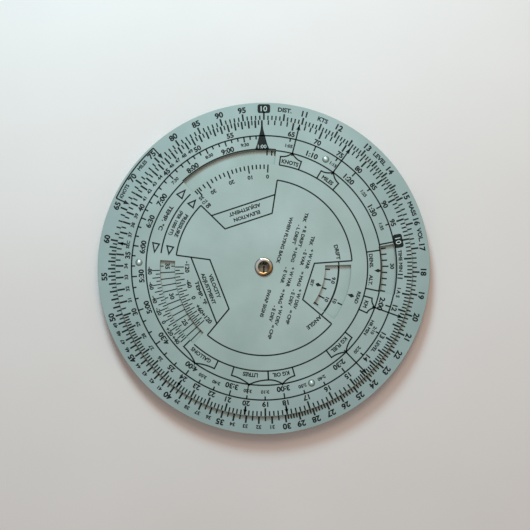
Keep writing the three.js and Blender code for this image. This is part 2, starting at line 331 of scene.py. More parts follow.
# The eyelet's nickel carries painted shade, a painted highlight and a painted reflection.
EYELET_NICKEL = tarnished_nickel("tarnished_nickel")
SCREW_STEEL = spun("screw_steel", "8D8F90", "B4B6B7", (0.22, 0.38))
SPRING_STEEL = brushed("spring_steel", "77797B", "A3A5A7", (0.05, 0.05, 1))
BLACK_INK = ink("black_ink", "0A1311", "16211F")
PALE_INK = ink("pale_ink", "B9C8C1", "CDD9D3")
WINDOW_PLASTIC = frosted_plastic("window_plastic")
NYLON = nylon("natural_nylon")
GROUND = ground("studio_ground")


# ---- outlines ----

def polar(radius, bearing):
    turn = math.radians(bearing)
    return radius * math.sin(turn), radius * math.cos(turn)


def arc(radius, start, end, step=1.0):
    """Points along an arc from one bearing to another, both ends included."""
    steps = max(1, math.ceil(abs(end - start) / step))
    return [polar(radius, start + (end - start) * i / steps) for i in range(steps + 1)]


def circle(radius, steps=ROUND_STEPS, centre=(0, 0)):
    ring = [polar(radius, 360 * i / steps) for i in range(steps)]
    return [(x + centre[0], y + centre[1]) for x, y in ring]


def sector(window, turn=0.0):
    inner, outer, start, end = window
    return arc(outer, start + turn, end + turn) + arc(inner, end + turn, start + turn)


def area(loop):
    pairs = zip(loop, loop[1:] + loop[:1])
    return sum(x0 * y1 - x1 * y0 for (x0, y0), (x1, y1) in pairs) / 2


def wound(loop, anticlockwise):
    return loop if (area(loop) > 0) == anticlockwise else loop[::-1]


def unit_normals(points, closed):
    """The mitre at each point: a vector to the left, long enough to keep the width in corners."""
    count = len(points)
    normals = []
    for i, point in enumerate(points):
        here = Vector(point)
        before = here - Vector(points[i - 1]) if closed or i > 0 else None
        after = Vector(points[(i + 1) % count]) - here if closed or i < count - 1 else None
        sides = [Vector((-d.y, d.x)).normalized() for d in (before, after) if d is not None]
        mean = sum(sides, Vector((0, 0))).normalized()
        normals.append(mean / max(mean.dot(sides[0]), 0.4))
    return normals


def moved_left(loop, distance):
    """The loop moved to its own left. The material of a solid lies on the left of its loops."""
    normals = unit_normals(loop, closed=True)
    return [(x + n.x * distance, y + n.y * distance) for (x, y), n in zip(loop, normals)]


# ---- meshes ----

def link(thing):
    bpy.context.scene.collection.objects.link(thing)


def make_piece(name, vertices, faces, materials, face_slots=None, smooth_below=SMOOTH_FLAT_DEG):
    """A mesh object from millimetre vertices, welded, with its faces pointing out."""
    mesh = bpy.data.meshes.new(name)
    mesh.from_pydata([(x * MM, y * MM, z * MM) for x, y, z in vertices], [], faces)
    for material in materials:
        mesh.materials.append(material)
    if face_slots:
        mesh.polygons.foreach_set("material_index", face_slots)
    work = bmesh.new()
    work.from_mesh(mesh)
    bmesh.ops.remove_doubles(work, verts=work.verts, dist=1e-7)
    bmesh.ops.recalc_face_normals(work, faces=work.faces)
    work.to_mesh(mesh)
    work.free()
    mesh.shade_smooth()
    mesh.set_sharp_from_angle(angle=math.radians(smooth_below))
    piece = bpy.data.objects.new(name, mesh)
    link(piece)
    return piece


def bevel_profile(bottom, top, bevel):
    """(inset, height) pairs up a plate's edge, with both rims rounded."""
    lower = []
    for i in range(BEVEL_STEPS + 1):
        turn = math.pi / 2 * i / BEVEL_STEPS
        lower.append((bevel * (1 - math.sin(turn)), bevel * (1 - math.cos(turn))))
    upper = [(inset, top - rise) for inset, rise in reversed(lower)]
    return [(inset, bottom + rise) for inset, rise in lower] + upper


def plate_parts(outline, holes, bottom, top, bevel):
    """Vertices, faces and face slots of a flat plate: slot 0 is its faces and slot 1 its edges."""
    loops = [wound(outline, True)] + [wound(hole, False) for hole in holes]
    vertices, faces, slots = [], [], []
    profile = bevel_profile(bottom, top, bevel)
    caps = {0: [], len(profile) - 1: []}
    for loop in loops:
        count = len(loop)
        start = len(vertices)
        for row, (inset, height) in enumerate(profile):
            ring = [(x, y, height) for x, y in moved_left(loop, inset)]
            if row in caps:
                caps[row].append(range(len(vertices), len(vertices) + count))
            vertices.extend(ring)
        for row in range(len(profile) - 1):
            for i in range(count):
                j = (i + 1) % count
                low, high = start + row * count, start + (row + 1) * count
                faces.append((low + i, low + j, high + j, high + i))
                slots.append(1)
    for rings in caps.values():
        indices = [index for ring in rings for index in ring]
        triangles = tessellate_polygon([[Vector(vertices[i]) for i in ring] for ring in rings])
        faces.extend(tuple(indices[i] for i in triangle) for triangle in triangles)
        slots.extend([0] * len(triangles))
    return vertices, faces, slots


def stands_for(piece, node, body, slot):
    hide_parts(node)
    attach(piece, body)


def plate(node, ending, outline, holes, materials, bevel, body="frame", slot="aluminium", raised=0.0):
    """A plate between the node's levels, with one material for its faces and one for its edges.

    raised lifts its underside to leave room for print.
    """
    bottom, top = level(node)
    vertices, faces, slots = plate_parts(outline, holes, bottom + raised, top, bevel)
    stands_for(make_piece(f"{node}_{ending}", vertices, faces, materials, slots), node, body, slot)


def turned_parts(profile, steps, centre=(0, 0)):
    """Vertices and faces of a closed (radius, height) profile turned about Z."""
    rows = len(profile)
    vertices = []
    for i in range(steps):
        for radius, height in profile:
            x, y = polar(radius, 360 * i / steps)
            vertices.append((x + centre[0], y + centre[1], height))
    faces = []
    for i in range(steps):
        here, there = i * rows, (i + 1) % steps * rows
        for row in range(rows):
            after = (row + 1) % rows
            faces.append((here + row, here + after, there + after, there + row))
    return vertices, faces


def rounded(profile, radius, steps=3):
    """The closed profile with each corner off the axis rounded."""
    smooth = []
    for i, corner in enumerate(profile):
        here = Vector(corner)
        before = Vector(profile[i - 1]) - here
        after = Vector(profile[(i + 1) % len(profile)]) - here
        reach = min(radius, before.length / 2.2, after.length / 2.2)
        if here.x < 1e-6:
            smooth.append(corner)
            continue
        first = here + before.normalized() * reach
        last = here + after.normalized() * reach
        for k in range(steps + 1):
            t = k / steps
            point = first * (1 - t) ** 2 + here * 2 * t * (1 - t) + last * t ** 2
            smooth.append((point.x, point.y))
    return smooth


def turned(node, ending, profile, material, body, slot, steps=ROUND_STEPS):
    vertices, faces = turned_parts(profile, steps)
    piece = make_piece(f"{node}_{ending}", vertices, faces, [material], smooth_below=SMOOTH_TURNED_DEG)
    stands_for(piece, node, body, slot)


def merged(*parts):
    """Several (vertices, faces, slots) as one."""
    vertices, faces, slots = [], [], []
    for part_vertices, part_faces, part_slots in parts:
        start = len(vertices)
        vertices.extend(part_vertices)
        faces.extend(tuple(start + i for i in face) for face in part_faces)
        slots.extend(part_slots)
    return vertices, faces, slots


# ---- print ----

LETTERING = {}
FONT_CAPITAL = 0.682
LETTER_DETAIL = 0.004


def inside(loop, point):
    x, y = point
    crossings = 0
    for (x0, y0), (x1, y1) in zip(loop, loop[1:] + loop[:1]):
        if (y0 > y) != (y1 > y) and x < x0 + (x1 - x0) * (y - y0) / (y1 - y0):
            crossings += 1
    return crossings % 2 == 1


def letter_outlines(text):
    """Each letter of the text in Blender's own font, as its outline and then its holes."""
    curve = bpy.data.curves.new("lettering", "FONT")
    curve.body = text
    curve.fill_mode = "NONE"
    curve.resolution_u = 3
    holder = bpy.data.objects.new("lettering", curve)
    mesh = bpy.data.meshes.new_from_object(holder)
    loops, loop = [], []
    for edge in mesh.edges:
        here, after = edge.vertices
        point, next_point = mesh.vertices[here].co.xy, mesh.vertices[after].co.xy
        if (next_point - point).length > LETTER_DETAIL:
            loop.append(tuple(point))
        if after < here:
            loops.append(loop)
            loop = []
    bpy.data.objects.remove(holder)
    bpy.data.curves.remove(curve)
    bpy.data.meshes.remove(mesh)
    around = [[ring for ring in loops if ring is not loop and inside(ring, loop[0])] for loop in loops]
    letters = []
    for outline, outer in zip(loops, around):
        if not outer:
            holes = [wound(hole, False) for hole, rings in zip(loops, around) if outline in rings]
            letters.append([wound(outline, True), *holes])
    return letters


def prism(loops):
    """A closed slab between flat outlines: (x, y, depth) points, depth 0 to 1, and faces."""
    points, faces, low, high = [], [], [], []
    for loop in loops:
        start, count = len(points), len(loop)
        points += [(x, y, depth) for depth in (0, 1) for x, y in loop]
        low += range(start, start + count)
        high += range(start + count, start + 2 * count)
        for i in range(count):
            j = (i + 1) % count
            faces.append((start + i, start + j, start + count + j, start + count + i))
    for triangle in tessellate_polygon([[Vector((x, y, 0)) for x, y in loop] for loop in loops]):
        faces += [tuple(side[i] for i in triangle) for side in (low, high)]
    return points, faces


def lettering(text, boldness=LETTER_BOLDNESS):
    """Closed letters with capitals one unit high, centred on the origin, and 0 to 1 deep."""
    if (text, boldness) not in LETTERING:
        scale = 1 / (FONT_CAPITAL + 2 * boldness)
        points, faces = [], []
        for letter in letter_outlines(text):
            start = len(points)
            letter_points, letter_faces = prism([moved_left(loop, -boldness) for loop in letter])
            points += letter_points
            faces += [tuple(start + i for i in face) for face in letter_faces]
        across = [x for x, _, _ in points]
        middle, rise = (min(across) + max(across)) / 2, FONT_CAPITAL / 2
        centred = [((x - middle) * scale, (y - rise) * scale, depth) for x, y, depth in points]
        LETTERING[text, boldness] = centred, faces
    return LETTERING[text, boldness]


class Print:
    """Thin raised print on one face, gathered into one mesh.

    face is the height of the surface. up is 1 for a face that looks up and -1 for one that
    looks down, where bearings run clockwise as seen from below. turn is added to bearings.
    boldness fattens the letters, as a share of their size.
    """

    def __init__(self, face, up=1, turn=0.0, lift=0.0, boldness=LETTER_BOLDNESS):
        self.boldness = boldness
        self.up = up
        self.turn = turn
        self.low = face + up * (lift - INK_ROOT)
        self.high = face + up * (lift + INK_HEIGHT)
        self.vertices = []
        self.faces = []

    def at(self, radius, bearing):
        return polar(radius, bearing + self.turn)

    def add(self, points, faces):
        """points are (x, y, depth), with depth 0 at the root and 1 at the ink's face."""
        start = len(self.vertices)
        rise = self.high - self.low
        self.vertices.extend((self.up * x, y, self.low + rise * depth) for x, y, depth in points)
        self.faces.extend(tuple(start + i for i in face) for face in faces)

    def ribbon(self, line, width, closed=False):
        """A line of even width through (x, y) points, with mitred corners."""
        points = []
        for (x, y), normal in zip(line, unit_normals(line, closed)):
            dx, dy = normal.x * width / 2, normal.y * width / 2
            points += [(x + s * dx, y + s * dy, depth) for depth in (0, 1) for s in (1, -1)]
        stations = len(line)
        faces = []
        for i in range(stations if closed else stations - 1):
            a, b = 4 * i, 4 * ((i + 1) % stations)
            faces += [(a, b, b + 1, a + 1), (a + 2, b + 2, b + 3, a + 3)]
            faces += [(a, b, b + 2, a + 2), (a + 1, b + 1, b + 3, a + 3)]
        if not closed:
            last = 4 * (stations - 1)
            faces += [(0, 1, 3, 2), (last, last + 1, last + 3, last + 2)]
        self.add(points, faces)

    def arc(self, radius, start, end, width=FINE_LINE):
        if start == end:
            return
        steps = math.ceil(abs(end - start))
        line = [self.at(radius, start + (end - start) * i / steps) for i in range(steps + 1)]
        self.ribbon(line, width)

    def line(self, *corners, width=FINE_LINE, closed=False):
        """Straight lines through (radius, bearing) corners."""
        self.ribbon([self.at(*corner) for corner in corners], width, closed)

    def tick(self, bearing, inner, outer, width=FINE_LINE):
        self.line((inner, bearing), (outer, bearing), width=width)

    def shape(self, *corners):
        """A filled shape through (radius, bearing) corners."""
        self.add(*prism([[self.at(*corner) for corner in corners]]))

    def text(self, words, bearing, radius, height, facing=1, spread=LETTER_SPREAD):
        """Words bent round the dial. facing is 1 with their tops outward, -1 with tops inward."""
        shape, faces = lettering(words, self.boldness)
        points = []
        for x, y, depth in shape:
            along = math.degrees(facing * x * height * spread / radius)
            points.append((*self.at(radius + facing * y * height, bearing + along), depth))
        self.add(points, faces)

    def level_text(self, words, across, up_by, bearing, height, spread=LETTER_SPREAD):
        """Words in a straight line. The tops point to the bearing, across runs along the words."""
        ux, uy = self.at(1, bearing)
        shape, faces = lettering(words, self.boldness)
        points = []
        for x, y, depth in shape:
            run = across + x * height * spread
            rise = up_by + y * height
            points.append((uy * run + ux * rise, -ux * run + uy * rise, depth))
        self.add(points, faces)

    def arrowhead(self, bearing, tip, back, width):
        """A filled triangle with its tip on one radius and its back on another."""
        half = math.degrees(width / 2 / back)
        self.shape((tip, bearing), (back, bearing - half), (back, bearing + half))

    def diamond(self, bearing, tip, shoulder, tail, half_width):
        half = math.degrees(half_width / shoulder)
        self.shape((tip, bearing), (shoulder, bearing + half), (tail, bearing), (shoulder, bearing - half))

    def finish(self, name, body, slot, material):
        piece = make_piece(name, self.vertices, self.faces, [material])
        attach(piece, body)


def log_bearing(value, index):
    """Where a value lies on a scale of one decade per turn, with the index value at the top."""
    return 360 * math.log10(value / index)


def plate_bearing(value):
    return log_bearing(value, 10)


def disc_bearing(value):
    return log_bearing(value, 60)


# The decade's graduations: from, to, smallest step, and the step of the taller marks.
DECADE = ((10, 15, 0.1, 0.5), (15, 30, 0.2, 1), (30, 60, 0.5, 1), (60, 100, 1, 5))
NUMBERS = [*range(11, 50), *range(50, 100, 5)]


def number_row(number, large, small, all_large_to):
    """Every number up to all_large_to is large, and after it only each fifth one."""
    return large if number <= all_large_to or number % 5 == 0 else small


def graduate(dial, bearing_of, edge, short, tall, towards, left_out=()):
    """Draws the decade's marks from the edge radius, towards -1 inward or 1 outward."""
    for first, last, step, tall_step in DECADE:
        for i in range(round((last - first) / step)):
            value = round(first + i * step, 4)
            if value in left_out:
                continue
            is_tall = abs(value / tall_step - round(value / tall_step)) < 1e-6
            ends = sorted((edge, edge + towards * (tall if is_tall else short)))
            dial.tick(bearing_of(value), *ends, width=BOLD_LINE if is_tall else FINE_LINE)


# ---- base plate ----

# A row of print, here and on the disc, is the radius of its middle and its height.

# The two values that the bracket near the rim joins, and the line in the drift window.
BRACKET_ENDS = (66, 76)
DRIFT_LINE = 31.5

# The standard atmosphere.
LAPSE_PER_FOOT = 6.8756e-6
PRESSURE_POWER = 5.2559
DENSITY_POWER = 4.2559
ZERO_CELSIUS = 273.15
SEA_LEVEL_KELVIN = 288.15


def outer_scale(dial):
    large, small, words = (67.25, 2.5), (66.95, 1.6), (67.3, 1.9)
    edge = DISC_RADIUS + 0.1
    graduate(dial, plate_bearing, edge, short=1.95, tall=3.1, towards=1, left_out=BRACKET_ENDS)
    for number in NUMBERS:
        row = number_row(number, large, small, all_large_to=30)
        dial.text(str(number), plate_bearing(number), *row)
    for value, word in ((10.5, "DIST."), (11.5, "KTS"), (13.5, "LEVEL"), (15.5, "MASS"), (16.5, "VOL.")):
        dial.text(word, plate_bearing(value), *words)
    dial.tick(0, DISC_RADIUS + 3, 66, width=BOLD_LINE)


def index_flag(dial, bearing, low, high, half_width):
    """The rounded black flag behind an index number."""
    corner, steps = 0.9, 4
    top, foot = high - corner, low + corner
    outline = []
    for side, radius, start in ((1, top, 0), (1, foot, 90), (-1, foot, 180), (-1, top, 270)):
        for i in range(steps + 1):
            dx, dy = polar(corner, start + 90 * i / steps)
            x, y = side * (half_width - corner) + dx, radius + dy
            outline.append((math.hypot(x, y), bearing + math.degrees(math.atan2(x, y))))
    dial.shape(*outline)


def unit_bracket(dial):
    """The bracket near the rim that joins two unit arrows, with their words inside."""
    start, end = (plate_bearing(value) for value in BRACKET_ENDS)
    radius, words = 68.9, (67.2, 1.6)
    for bearing in (start, end):
        dial.arrowhead(bearing, tip=DISC_RADIUS + 0.3, back=DISC_RADIUS + 2.8, width=1.9)
        dial.tick(bearing, DISC_RADIUS + 2.6, radius)
    dial.arc(radius, start, end)
    dial.text("KNOTS", plate_bearing(67.5), *words, spread=0.92)
    dial.text("MILES", plate_bearing(72.6), *words, spread=0.98)


def air_bearing(sea_level, power, feet):
    """Where an altitude lies on a scale of air pressure or density, with two decades per turn."""
    return sea_level - 180 * math.log10((1 - LAPSE_PER_FOOT * feet) ** power)


def pressure_scale(dial):
    """Pressure altitude lines that show in the air speed window, in thousands of feet."""
    inner, outer = AIRSPEED_WINDOW[0] - 0.4, AIRSPEED_WINDOW[1] + 0.4
    sea_level, gap_low, gap_high, numbers = 157.4, 39.0, 42.2, (40.6, 1.9)
    for feet in range(0, 46000, 1000):
        bearing = air_bearing(sea_level, PRESSURE_POWER, feet)
        if feet % 5000:
            dial.tick(bearing, inner, outer, width=HAIRLINE)
        else:
            dial.tick(bearing, inner, gap_low, width=HAIRLINE)
            dial.tick(bearing, gap_high, outer, width=HAIRLINE)
            dial.text(str(feet // 1000), bearing, *numbers, facing=-1)


def density_scale(dial):
    sea_level, short, tall, numbers = 12.8, 52.0, 52.5, (54.0, 1.7)
    for feet in range(0, 46000, 1000):
        bearing = air_bearing(sea_level, DENSITY_POWER, feet)
        labelled = feet % 5000 == 0
        dial.tick(bearing, DENSITY_WINDOW[0] - 0.3, tall if labelled else short)
        if labelled:
            dial.text(str(feet // 1000), bearing, *numbers)


def drift_scales(dial):
    """Two scales that show in the drift window, with a line between them."""
    inner, outer, _, _ = DRIFT_WINDOW
    nine, ten, numbers, outer_numbers = 101.0, 115.9, (29.8, 1.6), (33.0, 1.6)
    dial.arc(DRIFT_LINE, 0, 359, width=BOLD_LINE)
    for half_steps in range(12, 41):
        value = half_steps / 2
        labelled = half_steps % 2 == 0
        bearing = nine + log_bearing(value, 9)
        dial.tick(bearing, inner - 0.3, inner + (2.9 if labelled else 2.1))
        if labelled:
            dial.text(f"{value:.1f}" if value < 10 else f"{value:.0f}", bearing, *numbers)
    for value in (3, 5, 10, 20, 30, 50):
        bearing = ten + log_bearing(value, 10)
        dial.tick(bearing, outer - 2.2, outer - 0.1)
        dial.text(str(value), bearing, *outer_numbers)


def temperature_scale(dial):
    """Air temperature marks that show at the outer side of the altitude window."""
    outer, past = ALTITUDE_WINDOW[1], ALTITUDE_WINDOW[1] + 0.3
    sea_level, numbers, end_marks = -76.8, (45.7, 1.4), (1.6, 3.95, 5.6)
    for celsius in range(-70, 55, 5):
        bearing = sea_level + 360 * math.log10((ZERO_CELSIUS + celsius) / SEA_LEVEL_KELVIN)
        dial.tick(bearing, outer - (1.8 if celsius % 10 else 2.6), past)
        if celsius % 20 == 0:
            dial.text(str(celsius), bearing, *numbers, facing=-1)
    for bearing in end_marks:
        dial.tick(bearing, outer - 2.1, past)


def base_plate():
    bore = [circle(DISC_BORE, BORE_STEPS)]
    paints = (FACE_PAINT, PAINT_EDGE)
    plate("base_plate", "face", circle(PLATE_RADIUS), bore, paints, bevel=0.16, slot="dial_paint")
    face = level("base_plate")[1]
    dial = Print(face)
    outer_scale(dial)
    unit_bracket(dial)
    index_flag(dial, 0, low=65.5, high=69.3, half_width=2.7)
    pressure_scale(dial)
    density_scale(dial)
    drift_scales(dial)
    temperature_scale(dial)
    dial.finish("base_plate_print", "frame", "dial_paint", BLACK_INK)
    pale = Print(face, lift=INK_HEIGHT, boldness=PALE_BOLDNESS)
    pale.text("10", 0, 67.4, 2.2)
    pale.finish("base_plate_index_number", "frame", "dial_paint", PALE_INK)


# ---- computer disc ----

EDGE_BEVEL = 0.12
EDGE_CLEARANCE = EDGE_BEVEL + FINE_LINE / 2
DOME_PAINT_SLOT = 2
RING_MINUTES = 55.6
RING_HOURS = 49.5
RING_TAGS = 43.6
RING_BOXES = 37.1
ALTITUDE_BOX = (-44.8, 9.55)
AIRSPEED_BOX = (220.4, 278.4)
DENSITY_BOX = (82.6, 102.7)
DRIFT_BOX = (86.8, 130.9)
UNIT_TAGS = (
    (9.4, 20.4, "KNOTS"),
    (31.6, 42.6, "MILES"),
    (107.0, 114.9, "KM"),
    (129.6, 144.1, "KG FUEL"),
    (165.0, 178.5, "KG OIL"),
    (178.5, 197.4, "LITRES"),
    (206.7, 225.9, "GALLONS"),
)


def broken_circle(dial, radius, *detours):
    """A circle that keeps off the edge of each window it meets. A detour is (radius, window)."""
    _, (_, _, first, _) = detours[0]
    here = first
    for detour_radius, (_, _, start, end) in detours:
        dial.arc(radius, here, start)
        dial.arc(detour_radius, start, end)
        here = end
    dial.arc(radius, here, first + 360)


def inner_scale(dial):
    replaced_number = 36
    large, small, replacement, words = (57.4, 2.2), (57.9, 1.55), (57.9, 1.4), (57.5, 1.55)
    graduate(dial, disc_bearing, DISC_RADIUS - 0.15, short=2.0, tall=3.25, towards=-1)
    for number in NUMBERS:
        if number not in (60, replaced_number):
            row = number_row(number, large, small, all_large_to=25)
            dial.text(str(number), disc_bearing(number), *row)
    dial.text("SEC", disc_bearing(replaced_number), *replacement)
    for value, word in ((10.55, "TIME MIN"), (11.5, "I A S"), (13.45, "LEVEL")):
        dial.text(word, disc_bearing(value), *words)
    for value in (18, 20, 24, replaced_number):
        dial.arrowhead(disc_bearing(value), tip=DISC_RADIUS - 0.2, back=DISC_RADIUS - 2.4, width=1.6)
        dial.tick(disc_bearing(value), DISC_RADIUS - 4.0, DISC_RADIUS - 2.2)


def hour_band(dial):
    """Hours and minutes round the band inside the minute scale."""
    large = {70, 80, 90, *range(120, 450, 30), 480, 540}
    small = {*range(65, 100, 10), *range(130, 240, 10), 450, 510, 570} - large
    titled = 130
    for minute in [*range(65, 100, 5), *range(120, 600, 10)]:
        tall = minute % 30 == 0 or minute < 100 and minute % 10 == 0
        dial.tick(disc_bearing(minute), RING_MINUTES - (2.2 if tall else 1.5), RING_MINUTES)
    for minute in sorted(large | small):
        radius, height = (51.55, 2.3) if minute in large else (52.3, 1.45)
        label = f"{minute // 60}:{minute % 60:02d}"
        dial.text(label, disc_bearing(minute), 53.1 if minute == titled else radius, height)
    dial.text("HR MIN", disc_bearing(titled), 50.9, 1.45)


def unit_tag(dial, start, end, word):
    """A house-shaped tag on the tag ring, with its peak on the hour ring."""
    middle, half = (start + end) / 2, (end - start) / 2
    eaves, flare, steps = 47.3, 2.2, 6
    roof = []
    for i in range(-steps, steps + 1):
        share = 1 - abs(i) / steps
        roof.append((eaves + (RING_HOURS - eaves) * share ** flare, middle + half * i / steps))
    dial.line((RING_TAGS, start), *roof, (RING_TAGS, end))
    dial.tick(middle, RING_HOURS, RING_HOURS + 0.7)
    dial.text(word, middle, 45.45, 1.75, spread=0.96)


def unit_leaders(dial):
    """Lines from a tag's peak out to an arrow at the disc's edge."""
    for value in (66, 76, 122, 144):
        dial.arrowhead(disc_bearing(value), tip=DISC_RADIUS - 0.2, back=DISC_RADIUS - 2.6, width=1.8)
        dial.tick(disc_bearing(value), RING_HOURS - 1.1, DISC_RADIUS - 2.4)
    dial.tick(disc_bearing(200), RING_HOURS, RING_MINUTES - 2.2, width=HAIRLINE)


def speed_index(dial):
    """The flared black arrow at 60."""
    half_widths = (
        (61.9, 0.05),
        (60, 0.3),
        (58, 0.65),
        (RING_MINUTES, 1.25),
        (52.1, 2.15),
        (RING_HOURS + EDGE_BEVEL, 3.1),
    )
    left = [(radius, -math.degrees(half / radius)) for radius, half in half_widths]
    right = [(radius, -bearing) for radius, bearing in reversed(left)]
    dial.shape(*left, *right)


def density_box(dial):
    """The box round the density pointer, under the density window."""
    words = (45.2, 1.6)
    for bearing in DENSITY_BOX:
        dial.tick(bearing, RING_TAGS, RING_HOURS)
    dial.diamond(92.7, tip=49.55, shoulder=48.0, tail=46.4, half_width=0.75)
    dial.text("DENS.", 87.6, *words)
    dial.text("ALT.", 97.9, *words)


def box_sides(dial, start, end, low):
    dial.line((RING_BOXES, start), (low, start), (low, end), (RING_BOXES, end))


def titled_box(dial, start, end, *title):
    """A box with a level title between its sides, in lines of (height, word)."""
    low, chord, size = 22.9, 30.9, 1.6
    box_sides(dial, start, end, low)
    dial.line((chord, start), (chord, end))
    for up_by, word in title:
        dial.level_text(word, 0, up_by, (start + end) / 2 + 180, size)


def altitude_box(dial):
    titled_box(dial, *ALTITUDE_BOX, (-22.6, "ELEVATION"), (-25.4, "ADJUSTMENT"))
    sea_level, kelvin_per_thousand, last = 3.1, 1.9812, 35
    short, tall, numbers = 41.4, 39.9, (38.2, 1.7)
    for thousands in range(37):
        kelvin = SEA_LEVEL_KELVIN - kelvin_per_thousand * thousands
        bearing = sea_level - 360 * math.log10(SEA_LEVEL_KELVIN / kelvin)
        major = thousands % 10 == 0 or thousands == last
        if major or thousands % 2 == 0:
            dial.tick(bearing, tall if major else short, RING_TAGS - 0.25)
        if major and thousands < last:
            dial.text(str(thousands), bearing, *numbers, facing=-1)
    for label, radius, height in (("35", 39.3, 1.6), ("TO", 37.1, 1.3), ("80", 34.9, 1.6)):
        dial.text(label, -41.3, radius, height, facing=-1)


def celsius_bearing(celsius):
    """Where an air temperature lies beside the air speed window."""
    return 241.8 - 180 * math.log10((celsius + ZERO_CELSIUS) / ZERO_CELSIUS)


def signed(degrees):
    return f"{degrees:+d}" if degrees else "0"


def airspeed_box(dial):
    titled_box(dial, *AIRSPEED_BOX, (-22.2, "VELOCITY"), (-25.0, "ADJUSTMENT"))
    inner, outer, _, _ = AIRSPEED_WINDOW
    celsius_row, fahrenheit_row = (47.9, 1.75), (32.2, 1.85)
    for celsius in range(-80, 55, 5):
        bearing = celsius_bearing(celsius)
        dial.tick(bearing, outer + 0.15, outer + (1.9 if celsius % 10 else 3.4), width=HAIRLINE)
        if celsius % 20 == 0:
            dial.text(signed(celsius), bearing, *celsius_row, facing=-1)
    for fahrenheit in range(-120, 130, 10):
        bearing = celsius_bearing((fahrenheit - 32) / 1.8)
        dial.tick(bearing, inner - (2.1 if fahrenheit % 20 else 3.8), inner - 0.15, width=HAIRLINE)
        if fahrenheit % 60 == 0:
            dial.text(signed(fahrenheit), bearing, *fahrenheit_row, facing=-1)
    start, end = AIRSPEED_BOX
    dial.text("TEMP. °F", (start + end) / 2 - 1, 28.9, 1.65, facing=-1, spread=1.3)


def between_boxes(dial):
    """Two bands of words and hollow arrows between the air speed and altitude boxes."""
    middle = 297.3
    for low, high in ((45.0, 47.8), (38.9, 41.7)):
        for back, tip in ((283.1, 278.6), (310.7, 315.0)):
            dial.line((low, back), (high, back), ((low + high) / 2, tip), closed=True)
    dial.text("TEMP. °C", middle, 46.4, 1.75, facing=-1, spread=1.25)
    dial.text("(PER 1000 FT)", middle, 41.6, 1.5, facing=-1, spread=0.98)
    dial.text("PRESSURE", middle, 39.1, 1.65, facing=-1, spread=1.12)
    dial.arc(RING_TAGS, AIRSPEED_BOX[1], 315.6)


def drift_box(dial):
    start, end = DRIFT_BOX
    pointer, words = 109.0, (DRIFT_LINE, 1.7)
    box_sides(dial, start, end, low=21.3)
    for first, last in ((start, DRIFT_WINDOW[2] - 0.3), (DRIFT_WINDOW[3] + 0.3, end)):
        dial.arc(DRIFT_LINE, first, last)
    dial.text("DRIFT", 79.5, *words)
    dial.text("ANGLE", 138.6, *words)
    dial.diamond(pointer, tip=36.8, shoulder=38.8, tail=39.9, half_width=0.85)
    dial.diamond(pointer, tip=25.6, shoulder=23.8, tail=22.8, half_width=0.85)
    dial.text("READ", pointer, 41.4, 1.5)
    dial.text("SET", pointer, 21.3, 1.3)


def note_row(dial, heights, *notes):
    """A row of notes, each at its place along the row, as one word or as one over another.

    heights are those of a single word, of an upper one and of a lower one.
    """
    up, size = 107.6, 1.5
    for across, *words in notes:
        for word, up_by in zip(words, heights[1:] if len(words) > 1 else heights):
            dial.level_text(word, across, up_by, up, size)


def centre_notes(dial):
    """Three rows of working notes by the eyelet, set square to the drift pointer."""
    note_row(dial, (5.1,), (-13.3, "WHEN FLYING BACK"), (14.5, "SWAP SIGNS"))
    note_row(
        dial, (10.8, 11.9, 9.2), (-25.0, "TRK"), (-8.6, "= HDG"), (9.8, "= MAG"), (25.3, "= CMP"),
        (-17.0, "+ R DRIFT", "- L DRIFT"), (0.9, "+ W VAR", "- E VAR"), (17.7, "+ W DEV", "- E DEV"),
    )
    note_row(
        dial, (16.2, 17.4, 14.9), (-16.3, "TRK"), (0.4, "= MAG"), (17.2, "= CMP"),
        (-8.6, "+ W VAR", "- E VAR"), (8.9, "+ W DEV", "- E DEV"),
    )


def disc_print():
    dial = Print(DISC_FACE, turn=DISC_TURN_AT_REST)
    inner_scale(dial)
    hour_band(dial)
    ten = disc_bearing(10) + 360
    index_flag(dial, ten, low=55.7, high=59.5, half_width=2.9)
    dial.tick(ten, RING_HOURS, RING_MINUTES)
    past_density = (DENSITY_WINDOW[1] + EDGE_CLEARANCE, DENSITY_WINDOW)
    past_altitude = (ALTITUDE_WINDOW[1] + EDGE_CLEARANCE, ALTITUDE_WINDOW)
    under_density = (DENSITY_WINDOW[0] - EDGE_CLEARANCE, DENSITY_WINDOW)
    broken_circle(dial, RING_MINUTES, past_density)
    broken_circle(dial, RING_HOURS, past_altitude, under_density)
    dial.arc(RING_TAGS, UNIT_TAGS[0][0], 222.8)
    gaps = ((ALTITUDE_BOX[1], DRIFT_BOX[0]), (DRIFT_BOX[1], AIRSPEED_BOX[0]), (AIRSPEED_BOX[1], 315.2))
    for start, end in gaps:
        dial.arc(RING_BOXES, start, end)
    for start, end, word in UNIT_TAGS:
        unit_tag(dial, start, end, word)
    unit_leaders(dial)
    speed_index(dial)
    density_box(dial)
    altitude_box(dial)
    airspeed_box(dial)
    between_boxes(dial)
    drift_box(dial)
    centre_notes(dial)
    dial.finish("computer_disc_print", "computer_disc", "dial_paint", BLACK_INK)
    pale = Print(DISC_FACE, turn=DISC_TURN_AT_REST, lift=INK_HEIGHT, boldness=PALE_BOLDNESS)
    pale.text("10", ten, 57.6, 2.2)
    pale.text("1:00", 0, 51.0, 1.5)
    pale.finish("computer_disc_index_numbers", "computer_disc", "dial_paint", PALE_INK)


